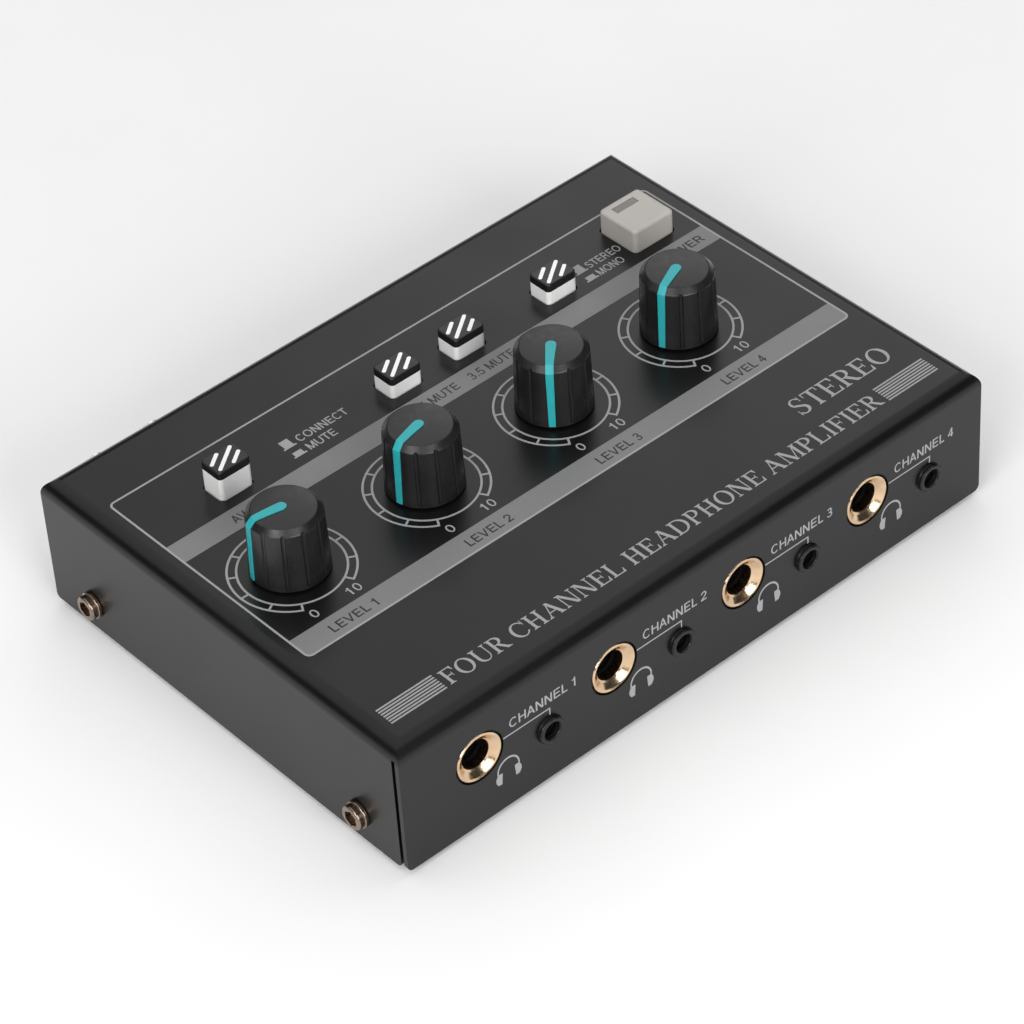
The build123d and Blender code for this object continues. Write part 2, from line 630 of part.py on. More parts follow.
def make_av_sockets():
    """A pair of AV sockets: one moulded body, and two metal shells with insulated centres."""
    near = HALF_D - SHEET - WALL_CLEARANCE
    tip = HALF_D + AV_SHELL_LENGTH
    width, height = AV_FLANGE
    body = block(AV_SOCKET_X - width / 2, AV_SOCKET_X + width / 2, near - 12, near,
                 BOARD_TOP, BOARD_TOP + height)
    shells = []
    for side in (-1, 1):
        x = AV_SOCKET_X + side * AV_SOCKET_PITCH / 2
        shell = rod_y(x, AV_AXIS_HEIGHT, near, tip, AV_SHELL_R)
        rim = [e for e in shell.edges().filter_by(GeomType.CIRCLE) if e.center().Y > tip - 0.1]
        shell = chamfer(rim, 0.3) + rod_y(x, AV_AXIS_HEIGHT, near, HALF_D, AV_COLLAR_R)
        shell -= rod_y(x, AV_AXIS_HEIGHT, near - 1, tip + 1, AV_SHELL_R - AV_SHELL_WALL)
        shells.append(shell)
        core = rod_y(x, AV_AXIS_HEIGHT, near - 0.5, tip - 1.0, AV_SHELL_R - AV_SHELL_WALL)
        core -= rod_y(x, AV_AXIS_HEIGHT, near - 1, tip + 1, AV_PIN_R)
        body += core
        body -= rod_y(x, AV_AXIS_HEIGHT, near - 8, near + 1, AV_PIN_R)
    save("av_socket_body", body)
    save("av_socket_shells", *shells)


def make_dc_inlet():
    """A barrel inlet for a 5.5 mm plug with a 2.1 mm centre pin."""
    near = HALF_D - SHEET - WALL_CLEARANCE
    body = block(DC_INLET_X - 4.5, DC_INLET_X + 4.5, near - 13, near, BOARD_TOP, BOARD_TOP + 11)
    body += rod_y(DC_INLET_X, DC_AXIS_HEIGHT, near, HALF_D, DC_HOLE_R - 0.1)
    body -= rod_y(DC_INLET_X, DC_AXIS_HEIGHT, near - 9, HALF_D + 1, DC_BORE_R)
    body += rod_y(DC_INLET_X, DC_AXIS_HEIGHT, near - 10, HALF_D - 1.2, DC_PIN_R)
    save("dc_inlet", body)


# ---------------------------------------------------------------- board and what it carries
STANDOFF_SPOTS = [(x, y) for x in (-67.0, 67.0) for y in (-46.0, 46.0)] + [(26.8, 14.0), (-33.0, 14.0)]
BOARD_SCREW_R = 1.45
BOARD_HOLE_R = 1.6
CHIP_SIZE = (9.4, 6.4, 3.4)
CHIP_Y = -14.5
CAPACITOR_R = 3.15
CAPACITOR_HEIGHT = 11.0
CAPACITOR_Y = 14.0
CAPACITOR_X = (-64.0, -44.0, -22.0, -7.0, 9.5, 43.0)


def make_board():
    low = BOARD_TOP - BOARD_THICKNESS
    half_w, half_d = BOARD_WIDTH / 2, BOARD_DEPTH / 2
    board = block(-half_w, half_w, -half_d, half_d, low, BOARD_TOP)
    for x, y in STANDOFF_SPOTS:
        board -= column(x, y, low - 1, BOARD_TOP + 1, BOARD_HOLE_R)
    save("main_board", board)


def make_standoffs():
    low = BOARD_TOP - BOARD_THICKNESS
    posts, screws = [], []
    for x, y in STANDOFF_SPOTS:
        hexagon = RegularPolygon(2.75, 6, major_radius=False)
        post = Pos(x, y, SHEET) * extrude(hexagon, low - SHEET)
        posts.append(post - column(x, y, SHEET + 1, low + 1, BOARD_SCREW_R + 0.05))
        screw = column(x, y, low - 3.5, BOARD_TOP + 0.5, BOARD_SCREW_R)
        head = column(x, y, BOARD_TOP, BOARD_TOP + 1.8, 2.6)
        head = fillet(edges_between(head, BOARD_TOP + 1.7, BOARD_TOP + 1.9), 0.7)
        screws.append(screw + head)
    save("board_standoffs", *posts)
    save("board_screws", *screws)


def make_board_parts():
    width, depth, height = CHIP_SIZE
    chips = []
    y0, y1 = CHIP_Y - depth / 2, CHIP_Y + depth / 2
    for i in range(CHANNELS):
        x = KNOB_X + CHANNEL_PITCH * i
        chips.append(block(x - width / 2, x + width / 2, y0, y1, BOARD_TOP, BOARD_TOP + height))
    save("amplifier_chips", *chips)
    top = BOARD_TOP + CAPACITOR_HEIGHT
    cans = []
    for x in CAPACITOR_X:
        can = column(x, CAPACITOR_Y, BOARD_TOP, top, CAPACITOR_R)
        cans.append(fillet(edges_between(can, top - 0.1, top + 0.1), 0.4))
    save("filter_capacitors", *cans)


os.makedirs("parts", exist_ok=True)
make_cover()
make_bottom_plate()
make_case_screws()
make_feet()
make_knobs()
make_potentiometers()
make_mute_buttons()
make_switch_bodies()
make_power_button()
make_front_sockets()
make_rear_sockets()
make_board()
make_standoffs()
make_board_parts()
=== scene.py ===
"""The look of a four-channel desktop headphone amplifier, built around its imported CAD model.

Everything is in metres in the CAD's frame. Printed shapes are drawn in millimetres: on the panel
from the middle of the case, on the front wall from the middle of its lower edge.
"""

from math import cos, pi, radians, sin

import bpy
from mathutils import Euler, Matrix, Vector
from mathutils.geometry import delaunay_2d_cdt


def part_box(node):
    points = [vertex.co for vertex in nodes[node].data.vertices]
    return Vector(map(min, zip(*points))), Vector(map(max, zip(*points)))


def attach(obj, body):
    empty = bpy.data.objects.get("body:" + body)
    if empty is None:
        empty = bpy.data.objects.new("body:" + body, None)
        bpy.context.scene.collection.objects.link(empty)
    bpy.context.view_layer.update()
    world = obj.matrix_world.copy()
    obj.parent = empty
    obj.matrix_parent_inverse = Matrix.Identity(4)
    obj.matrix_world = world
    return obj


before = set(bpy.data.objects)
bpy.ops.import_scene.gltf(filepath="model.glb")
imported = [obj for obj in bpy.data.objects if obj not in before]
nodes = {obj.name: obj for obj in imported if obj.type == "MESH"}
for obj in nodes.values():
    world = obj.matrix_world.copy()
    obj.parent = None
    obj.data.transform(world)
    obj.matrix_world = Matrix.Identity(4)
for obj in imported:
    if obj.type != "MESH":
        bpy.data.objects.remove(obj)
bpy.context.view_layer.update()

MM = 0.001
CHANNELS = 4
COVER_LOW, COVER_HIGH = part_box("top_cover")
CASE_Y = (COVER_LOW.y + COVER_HIGH.y) / 2


def centre_of(node):
    """The middle of a CAD node's box, in the case's millimetres."""
    low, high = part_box(node)
    middle = (low + high) / 2 - Vector((0, CASE_Y, COVER_LOW.z))
    return middle / MM


# ---------------------------------------------------------------- node materials
COAT_IOR = 1.42
KNOB_IOR = 1.49
SOCKET_IOR = 1.38
WAVE_ANGLE = 20     # radians that a wave texture of scale 1 passes in one unit of length


class Finish:
    """A node material, with short ways to give its surface detail of a real size."""

    def __init__(self, name, colour, roughness=0.5, metallic=0.0):
        self.name = name
        self.material = bpy.data.materials.new(name)
        self.material.use_nodes = True
        self.tree = self.material.node_tree
        self.shader = self.tree.nodes["Principled BSDF"]
        self.colour = colour
        self.put("Base Color", (*colour, 1))
        self.put("Roughness", roughness)
        self.put("Metallic", metallic)
        self.place = self.add("ShaderNodeTexCoord").outputs["Object"]
        self.relief = None

    def add(self, kind, **settings):
        node = self.tree.nodes.new(kind)
        for key, value in settings.items():
            setattr(node, key, value)
        return node

    def link(self, source, target):
        self.tree.links.new(source, target)

    def put(self, socket, value):
        self.shader.inputs[socket].default_value = value

    def noise(self, size, detail=2.0):
        """Noise with features of about this size in millimetres."""
        node = self.add("ShaderNodeTexNoise")
        node.inputs["Scale"].default_value = 1 / (size * MM)
        node.inputs["Detail"].default_value = detail
        self.link(self.place, node.inputs["Vector"])
        return node.outputs["Fac"]

    def spread(self, source, low, high, start=0.3, end=0.7):
        """A noise's middle range stretched to run from low to high."""
        node = self.add("ShaderNodeMapRange")
        node.inputs["From Min"].default_value = start
        node.inputs["From Max"].default_value = end
        node.inputs["To Min"].default_value = low
        node.inputs["To Max"].default_value = high
        self.link(source, node.inputs["Value"])
        return node.outputs["Result"]

    def vary_roughness(self, source, low, high):
        self.link(self.spread(source, low, high), self.shader.inputs["Roughness"])

    def vary_colour(self, source, other, start=0.3, end=0.7):
        """The colour runs to another one where the source is high."""
        mix = self.add("ShaderNodeMix", data_type="RGBA")
        mix.inputs["A"].default_value = (*self.colour, 1)
        mix.inputs["B"].default_value = (*other, 1)
        self.link(self.spread(source, 0, 1, start, end), mix.inputs["Factor"])
        self.link(mix.outputs["Result"], self.shader.inputs["Base Color"])

    def bump(self, source, depth):
        """Relief of this depth in millimetres, added to any before it."""
        node = self.add("ShaderNodeBump")
        node.inputs["Distance"].default_value = depth * MM
        self.link(source, node.inputs["Height"])
        if self.relief:
            self.link(self.relief, node.inputs["Normal"])
        self.relief = node.outputs["Normal"]
        self.link(self.relief, self.shader.inputs["Normal"])

    def ribs(self, pitch, depth):
        """Rings along Y, as inside a socket's barrel; both sizes are in millimetres."""
        wave = self.add("ShaderNodeTexWave", bands_direction="Y")
        wave.inputs["Scale"].default_value = 2 * pi / (WAVE_ANGLE * pitch * MM)
        self.link(self.place, wave.inputs["Vector"])
        self.bump(wave.outputs["Fac"], depth)


def coated_steel(name, colour, grain, roughness):
    """Fine satin powder coat: a faint orange peel, and grains that catch the light."""
    made = Finish(name, colour)
    lighter = tuple(1.5 * c for c in colour)
    made.vary_colour(made.noise(0.35, 3), lighter, 0.35, 0.75)
    made.put("IOR", COAT_IOR)
    made.vary_roughness(made.noise(18, 4), roughness - 0.02, roughness + 0.03)
    made.bump(made.noise(grain, 2), 0.0035)
    made.bump(made.noise(1.6, 2), 0.003)
    return made


def moulded(name, colour, roughness, texture=0.0025, mottle=1.12):
    """Moulded plastic: a fine spark-eroded texture, with slightly uneven colour and gloss."""
    made = Finish(name, colour)
    made.vary_colour(made.noise(3.0, 4), tuple(min(1, mottle * c) for c in colour))
    made.vary_roughness(made.noise(1.2, 3), roughness - 0.04, roughness + 0.05)
    made.bump(made.noise(0.22, 3), texture)
    return made


def translucent(name, colour, roughness, texture, mottle, radius, weight):
    """Moulded plastic that lets a little light in, to a depth in millimetres."""
    made = moulded(name, colour, roughness, texture, mottle)
    made.put("Subsurface Weight", weight)
    made.put("Subsurface Radius", (radius * MM,) * 3)
    return made


def plated(name, colour, roughness, wear):
    """Plated metal: fine drawing marks, and slightly uneven plating."""
    made = Finish(name, colour, metallic=1.0)
    made.vary_colour(made.noise(2.2, 4), wear)
    marks = made.noise(0.5, 3)
    made.vary_roughness(marks, roughness - 0.05, roughness + 0.08)
    made.bump(marks, 0.0008)
    return made


def knob_plastic():
    made = moulded("knob_plastic", (0.0085, 0.0085, 0.0087), 0.31, 0.004, 1.3)
    made.put("IOR", KNOB_IOR)
    return made


def button_white():
    made = translucent("button_white", (0.88, 0.88, 0.87), 0.34, 0.001, 1.02, 0.8, 0.12)
    made.put("Coat Weight", 0.15)
    return made


def window_smoke():
    made = moulded("window_smoke", (0.085, 0.074, 0.062), 0.16, 0.0005, 1.1)
    made.put("Coat Weight", 0.5)
    return made


def socket_plastic():
    made = moulded("socket_plastic", (0.006, 0.006, 0.0063), 0.28, 0.002, 1.4)
    made.put("IOR", SOCKET_IOR)
    made.ribs(1.3, 0.12)
    return made


def foot_rubber():
    made = moulded("foot_rubber", (0.012, 0.012, 0.012), 0.72, 0.006)
    made.put("Sheen Weight", 0.15)
    return made


def board_green():
    """A circuit board: solder mask over faintly raised tracks."""
    made = Finish("board_green", (0.010, 0.075, 0.028), 0.3)
    made.vary_colour(made.noise(1.4, 4), (0.016, 0.105, 0.040))
    tracks = made.add("ShaderNodeTexWave", bands_direction="DIAGONAL")
    tracks.inputs["Scale"].default_value = 260
    tracks.inputs["Distortion"].default_value = 6
    made.link(made.place, tracks.inputs["Vector"])
    made.bump(tracks.outputs["Fac"], 0.02)
    return made


def make_materials():
    """One finish for each material slot of the record, under the slot's name."""
    finishes = (
        coated_steel("case_coat", (0.0028, 0.0028, 0.0029), 0.14, 0.30),
        coated_steel("plate_steel", (0.008, 0.008, 0.0085), 0.18, 0.46),
        plated("screw_nickel", (0.37, 0.285, 0.225), 0.24, (0.23, 0.17, 0.135)),
        foot_rubber(),
        knob_plastic(),
        translucent("pointer_plastic", (0.022, 0.345, 0.37), 0.36, 0.001, 1.06, 0.4, 0.1),
        plated("shaft_metal", (0.62, 0.62, 0.62), 0.3, (0.52, 0.52, 0.53)),
        plated("pot_metal", (0.55, 0.55, 0.53), 0.36, (0.45, 0.45, 0.44)),
        button_white(),
        moulded("button_black", (0.006, 0.006, 0.0062), 0.30, 0.0015, 1.3),
        moulded("switch_plastic", (0.02, 0.02, 0.022), 0.5),
        moulded("plunger_plastic", (0.62, 0.60, 0.55), 0.4),
        translucent("power_grey", (0.435, 0.415, 0.385), 0.42, 0.003, 1.05, 0.6, 0.08),
        window_smoke(),
        socket_plastic(),
        plated("socket_gilt", (0.86, 0.63, 0.41), 0.18, (0.72, 0.50, 0.32)),
        plated("av_metal", (0.78, 0.77, 0.74), 0.22, (0.68, 0.67, 0.65)),
        board_green(),
        moulded("chip_epoxy", (0.014, 0.014, 0.015), 0.55),
        moulded("capacitor_sleeve", (0.02, 0.022, 0.03), 0.3),
    )
    return {made.name: made.material for made in finishes}


materials = make_materials()


def finish_cad_nodes():
    """Each CAD node that stays visible takes the finish of its material slot."""
    for name, node in nodes.items():
        for held in node.material_slots:
            slot = held.material.name.split(".")[0]
            held.material = materials[slot]


finish_cad_nodes()


# ---------------------------------------------------------------- flat shapes for the printing
ARC_STEP = 6.0   # degrees between the points of a round stretch


def arc(x, y, rx, ry, start, end):
    """Points along an ellipse, in order from one angle to another."""
    count = max(2, round(abs(end - start) / ARC_STEP)) + 1
    angles = [radians(start + (end - start) * i / (count - 1)) for i in range(count)]
    return [(x + rx * cos(a), y + ry * sin(a)) for a in angles]


def area(x0, x1, y0, y1):
    return [(x0, y0), (x1, y0), (x1, y1), (x0, y1)]


def band(x, y, inner, outer, start, end):
    """A stretch of a round line between two radii."""
    return arc(x, y, outer, outer, start, end) + arc(x, y, inner, inner, end, start)


def bow(outer, inner, start, end):
    """A curved stroke between two ellipses, each given as centre x, centre y, radius x, radius y."""
    return arc(*outer, start, end) + arc(*inner, end, start)


def rounded(x0, x1, y0, y1, radius, lower_only=False):
    """A rectangle with round corners, or with only its two lower corners round."""
    r = radius
    low = arc(x0 + r, y0 + r, r, r, 180, 270) + arc(x1 - r, y0 + r, r, r, 270, 360)
    if lower_only:
        return low + [(x1, y1), (x0, y1)]
    return low + arc(x1 - r, y1 - r, r, r, 0, 90) + arc(x0 + r, y1 - r, r, r, 90, 180)


def moved(shapes, x, y, scale=1.0, turn=0.0):
    """The same shapes scaled, turned and then shifted."""
    c, s = scale * cos(radians(turn)), scale * sin(radians(turn))
    return [[(x + c * px - s * py, y + s * px + c * py) for px, py in shape] for shape in shapes]


def anticlockwise(shape):
    """The shape's points in anticlockwise order."""
    turns = sum(a[0] * b[1] - b[0] * a[1] for a, b in zip(shape, shape[1:] + shape[:1]))
    return shape if turns > 0 else shape[::-1]


def united(shapes, cuts):
    """One flat sheet of triangles covering the shapes, less the cuts."""
    points, faces = [], []
    for shape in [*shapes, *cuts]:
        faces.append(list(range(len(points), len(points) + len(shape))))
        points.extend(Vector(p) for p in anticlockwise(list(shape)))
    made = delaunay_2d_cdt(points, [], faces, 1, 1e-4)
    corners, triangles, shapes_under = made[0], made[2], made[5]
    kept = [
        triangle
        for triangle, under in zip(triangles, shapes_under)
        if under and max(under) < len(shapes)
    ]
    return corners, kept


INK_DEPTH = 0.01    # how far a print reaches into the surface below it


def printed(name, shapes, place, ink, height, cuts=()):
    """A thin closed layer of ink; place turns millimetres on a wall and above it into a point."""
    points, triangles = united(shapes, cuts)
    used = sorted({i for t in triangles for i in t})
    number = {old: new for new, old in enumerate(used)}
    triangles = [tuple(number[i] for i in t) for t in triangles]
    count = len(used)
    lower = [place(*points[i], -INK_DEPTH) for i in used]
    upper = [place(*points[i], height) for i in used]
    faces = [tuple(i + count for i in t) for t in triangles]
    faces += [t[::-1] for t in triangles]
    sides = {(a, b) for t in triangles for a, b in zip(t, t[1:] + t[:1])}
    faces += [(a, b, b + count, a + count) for a, b in sorted(sides) if (b, a) not in sides]
    return chassis_piece(name, lower + upper, faces, ink)


def chassis_piece(name, points, faces, material):
    """A mesh object that rides on the chassis."""
    mesh = bpy.data.meshes.new(name)
    mesh.from_pydata(points, [], faces)
    mesh.materials.append(material)
    made = bpy.data.objects.new(name, mesh)
    bpy.context.scene.collection.objects.link(made)
    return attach(made, "chassis")


def on_panel(x, y, height):
    return Vector((x * MM, CASE_Y + y * MM, COVER_HIGH.z + height * MM))


def on_front(x, z, height):
    return Vector((x * MM, COVER_LOW.y - height * MM, COVER_LOW.z + z * MM))


# ---------------------------------------------------------------- plain and roman letters
# Both sets hold only the capitals that the words need. They are drawn in units of the
# capitals' height, from x = 0 on the baseline.
def slant(x0, x1, width, y0=0.0, y1=1.0):
    """A slanting stroke whose ends are level."""
    return [[(x0, y0), (x0 + width, y0), (x1 + width, y1), (x1, y1)]]


def ring(outer, inner):
    """A closed round stroke."""
    return [bow(outer, inner, 0, 180), bow(outer, inner, 180, 360)]


BOLD = 0.17         # width of the plain letters' upright strokes
LEVEL = 0.145       # height of their level strokes


def bar(x0, x1, y):
    return [area(x0, x1, y, y + LEVEL)]


def post(x, low=0.0, high=1.0):
    return [area(x, x + BOLD, low, high)]


def plain_p():
    bowl = bow((0.52, 0.70, 0.34, 0.30), (0.52, 0.70, 0.19, 0.17), -90, 90)
    return post(0.10) + bar(0.10, 0.52, 0.87) + bar(0.10, 0.52, 0.40) + [bowl]


def plain_s():
    upper = bow((0.465, 0.735, 0.35, 0.265), (0.465, 0.735, 0.20, 0.135), 20, 230)
    lower = bow((0.465, 0.265, 0.38, 0.265), (0.465, 0.265, 0.23, 0.135), -160, 50)
    spine = [(0.24, 0.532), (0.613, 0.368), (0.709, 0.468), (0.336, 0.632)]
    return [upper, lower, spine]


def plain_figure(letter):
    """The strokes of a figure."""
    if letter == "0":
        return ring((0.39, 0.5, 0.34, 0.515), (0.39, 0.5, 0.19, 0.385))
    if letter == "1":
        return post(0.32) + [[(0.10, 0.70), (0.32, 0.70), (0.32, 0.95), (0.27, 0.84), (0.10, 0.81)]]
    if letter == "2":
        top = bow((0.39, 0.69, 0.33, 0.32), (0.39, 0.69, 0.18, 0.19), -35, 175)
        neck = [(0.537, 0.581), (0.06, 0.13), (0.06, 0.0), (0.26, 0.11), (0.66, 0.506)]
        return [top, neck] + bar(0.06, 0.72, 0.0)
    if letter == "3":
        upper = bow((0.37, 0.73, 0.29, 0.28), (0.37, 0.73, 0.14, 0.155), -90, 160)
        lower = bow((0.37, 0.27, 0.34, 0.285), (0.37, 0.27, 0.19, 0.16), -160, 90)
        return [upper, lower] + [area(0.27, 0.39, 0.44, 0.56)]
    if letter == "4":
        slope = [(0.03, 0.24), (0.17, 0.30), (0.47, 0.76), (0.47, 1.0)]
        return post(0.45) + bar(0.03, 0.74, 0.22) + [slope]
    if letter == "5":
        bowl = bow((0.38, 0.325, 0.34, 0.34), (0.38, 0.325, 0.19, 0.215), -160, 140)
        return bar(0.13, 0.69, 0.87) + slant(0.08, 0.13, 0.13, 0.44, 1.0) + [bowl]
    bowl = ring((0.39, 0.32, 0.34, 0.335), (0.39, 0.32, 0.19, 0.21))
    return bowl + [bow((0.45, 0.5, 0.40, 0.515), (0.45, 0.5, 0.25, 0.39), 45, 180)]


def plain(letter):
    """A plain capital's advance and its strokes."""
    if letter.isdigit():
        return 0.777, plain_figure(letter)
    if letter == "A":
        return 0.93, slant(0.02, 0.385, 0.16) + slant(0.75, 0.385, 0.16) + bar(0.20, 0.73, 0.25)
    if letter == "C":
        return 1.01, [bow((0.52, 0.5, 0.46, 0.515), (0.52, 0.5, 0.31, 0.385), 42, 318)]
    if letter == "E":
        arms = bar(0.11, 0.83, 0.87) + bar(0.11, 0.78, 0.44) + bar(0.11, 0.85, 0.0)
        return 0.93, post(0.11) + arms
    if letter == "H":
        return 1.01, post(0.10) + post(0.76) + bar(0.10, 0.90, 0.44)
    if letter == "L":
        return 0.78, post(0.10) + bar(0.10, 0.72, 0.0)
    if letter == "M":
        return 1.16, post(0.10) + post(0.91) + slant(0.495, 0.10, 0.17) + slant(0.495, 0.89, 0.17)
    if letter == "N":
        return 1.01, post(0.10) + post(0.76) + slant(0.73, 0.10, 0.18)
    if letter == "O":
        return 1.09, ring((0.545, 0.5, 0.5, 0.515), (0.545, 0.5, 0.345, 0.385))
    if letter == "P":
        return 0.93, plain_p()
    if letter == "R":
        return 1.01, plain_p() + slant(0.75, 0.50, 0.17, 0.0, 0.46)
    if letter == "S":
        return 0.93, plain_s()
    if letter == "T":
        return 0.85, post(0.35) + bar(0.03, 0.82, 0.87)
    if letter == "U":
        cup = bow((0.505, 0.36, 0.415, 0.375), (0.505, 0.36, 0.265, 0.245), 180, 360)
        return 1.01, post(0.09, 0.35) + post(0.77, 0.35) + [cup]
    if letter == "V":
        return 0.93, slant(0.385, 0.02, 0.16) + slant(0.385, 0.75, 0.16)
    if letter == "W":
        left = slant(0.27, 0.02, 0.16) + slant(0.27, 0.58, 0.16)
        return 1.32, left + slant(0.89, 0.58, 0.16) + slant(0.89, 1.14, 0.16)
    if letter == ".":
        return 0.39, [area(0.12, 0.27, 0.0, 0.15)]
    return 0.39, []


def lettering(text, alphabet, x0, x1, y, height):
    """A line of capitals that runs from x0 to x1 on the baseline y."""
    made, reach = [], 0.0
    for letter in text:
        advance, strokes = alphabet(letter)
        made += moved(strokes, reach, 0)
        reach += advance
    low, high = (f(p[0] for s in made for p in s) for f in (min, max))
    along = (x1 - x0) / (high - low)
    return [[(x0 + (px - low) * along, y + py * height) for px, py in s] for s in made]


def plain_letters(text, x, y, height, width):
    return lettering(text, plain, x, x + width, y, height)


STEM = 0.16         # width of the roman letters' thick strokes
HAIR = 0.065        # width of their thin strokes
SLAB = 0.045        # height of a serif
OVER = 0.10         # how far a serif reaches past its stroke


def stem(x, low=0.0, high=1.0, width=STEM):
    return [area(x, x + width, low, high)]


def serif(x, y, width=STEM, left=OVER, right=OVER):
    """A bracketed serif at the foot (y = 0) or head (y = 1) of a stroke."""
    up = 1 if y < 0.5 else -1
    slab, bracket = y + up * SLAB, y + up * (SLAB + 0.08)
    return [[
        (x - left, y), (x + width + right, y), (x + width + right, slab),
        (x + width + 0.2 * right, slab + up * 0.02), (x + width, bracket),
        (x, bracket), (x - 0.2 * left, slab + up * 0.02), (x - left, slab),
    ]]


def pillar(x, width=STEM, foot=True, head=True):
    """An upright stroke with its serifs."""
    made = stem(x, width=width)
    if foot:
        made += serif(x, 0.0, width)
    if head:
        made += serif(x, 1.0, width)
    return made


def arm(x0, x1, y, beak):
    """A thin level arm that ends in a wedge; the wedge reaches up or down by beak."""
    edge = y + HAIR if beak > 0 else y
    tip = [(x1 - 0.12, edge), (x1, edge), (x1 + 0.02, edge + beak), (x1 - 0.02, edge + beak)]
    return [area(x0, x1, y, y + HAIR), tip]


def half_bowl(x, right, low, high):
    """A bowl that starts level at x and bulges to the right."""
    middle, ry = (low + high) / 2, (high - low) / 2
    rx = right - x
    made = [bow((x, middle, rx, ry), (x, middle, rx - STEM, ry - HAIR), -90, 90)]
    made += [area(0.15, x, high - HAIR, high), area(0.15, x, low, low + HAIR)]
    return made


def letter_s():
    upper, lower = (0.42, 0.75, 0.30, 0.265), (0.42, 0.26, 0.33, 0.275)
    made = [bow(upper, (0.44, 0.755, 0.20, 0.205), 25, 235)]
    made += [bow(lower, (0.39, 0.255, 0.20, 0.205), -155, 55)]
    made += [[(0.17, 0.60), (0.33, 0.64), (0.68, 0.43), (0.56, 0.36)]]
    made += [area(0.66, 0.70, 0.70, 1.0), area(0.10, 0.14, 0.0, 0.31)]
    return made


def roman(letter):
    """A capital's advance and its strokes."""
    if letter == "A":
        legs = slant(0.10, 0.50, HAIR) + slant(0.79, 0.42, 0.19)
        feet = serif(0.10, 0.0, HAIR) + serif(0.80, 0.0, 0.17, 0.08, 0.08)
        return 1.09, legs + feet + [area(0.24, 0.74, 0.32, 0.32 + HAIR)]
    if letter == "C":
        made = [bow((0.53, 0.5, 0.48, 0.515), (0.56, 0.5, 0.34, 0.45), 35, 325)]
        return 1.01, made + [area(0.90, 0.94, 0.66, 1.01)]
    if letter == "D":
        made = stem(0.15) + serif(0.15, 0, right=0) + serif(0.15, 1, right=0)
        return 1.09, made + half_bowl(0.46, 1.02, 0, 1)
    if letter in "EFL":
        made = stem(0.15) + serif(0.15, 1, right=0.0 if letter != "L" else OVER)
        made += serif(0.15, 0, right=OVER if letter == "F" else 0.0)
        if letter in "EF":
            made += arm(0.15, 0.80, 1 - HAIR, -0.20) + [area(0.15, 0.60, 0.48, 0.48 + HAIR)]
            made += [area(0.58, 0.62, 0.38, 0.64)]
        if letter in "EL":
            made += arm(0.15, 0.85, 0.0, 0.24)
        return (0.86, made) if letter == "F" else (0.93, made)
    if letter == "H":
        return 1.09, pillar(0.17) + pillar(0.76) + [area(0.3, 0.8, 0.47, 0.47 + HAIR)]
    if letter == "I":
        return 0.50, pillar(0.17)
    if letter == "M":
        made = slant(0.60, 0.13, 0.19) + slant(0.62, 1.06, HAIR)
        made += pillar(0.14, HAIR, head=False) + pillar(1.03)
        return 1.34, made + serif(0.14, 1, HAIR, OVER, 0)
    if letter == "N":
        made = slant(0.74, 0.13, 0.19) + pillar(0.15, HAIR, head=False)
        return 1.09, made + pillar(0.86, HAIR, foot=False) + serif(0.15, 1, HAIR, OVER, 0)
    if letter == "O":
        return 1.09, ring((0.545, 0.5, 0.49, 0.515), (0.545, 0.5, 0.32, 0.45))
    if letter in "PR":
        made = pillar(0.15, head=False) + serif(0.15, 1, right=0)
        made += half_bowl(0.44, 0.80, 0.46, 1.0)
        if letter == "P":
            return 0.86, made
        return 1.01, made + slant(0.74, 0.38, 0.19, 0.0, 0.5) + serif(0.76, 0, 0.14, 0.03, 0.12)
    if letter == "S":
        return 0.84, letter_s()
    if letter == "T":
        made = stem(0.385) + serif(0.385, 0) + [area(0.05, 0.88, 1 - HAIR, 1)]
        return 0.93, made + [area(0.05, 0.10, 0.74, 1), area(0.83, 0.88, 0.74, 1)]
    if letter == "U":
        cup = bow((0.53, 0.36, 0.38, 0.375), (0.58, 0.36, 0.27, 0.31), 180, 360)
        made = stem(0.15, 0.35) + stem(0.845, 0.35, width=HAIR) + [cup]
        return 1.06, made + serif(0.15, 1) + serif(0.845, 1, HAIR)
    return 0.38, []


# ---------------------------------------------------------------- inks
def ink(name, colour, roughness=0.5):
    """Screen print: slightly uneven cover, with the mesh's faint grain."""
    made = Finish(name, colour)
    made.vary_colour(made.noise(0.3, 3), tuple(0.88 * c for c in colour))
    made.vary_roughness(made.noise(2.5, 3), roughness - 0.05, roughness + 0.05)
    made.bump(made.noise(0.12, 2), 0.002)
    return made.material


light_ink = ink("light_ink", (0.33, 0.33, 0.332))
band_ink = ink("band_ink", (0.195, 0.195, 0.197))
wall_ink = ink("wall_ink", (0.345, 0.345, 0.347))
dark_ink = ink("dark_ink", (0.010, 0.010, 0.0105), 0.45)
LINE = 0.45            # width of the printed lines
BASE_LAYER = 0.02      # height of a print on the coat, and of one on another print
TOP_LAYER = 0.035
FRAME_X = (-70.1, 69.7)
FRAME_Y = (-22.6, 37.6)
FRAME_CORNER = 1.4
UPPER_BAND_Y = (14.1, 19.9)
LOWER_BAND_Y = (-22.6, -16.5)
SMALL_CAP = 2.2        # height of the small capitals


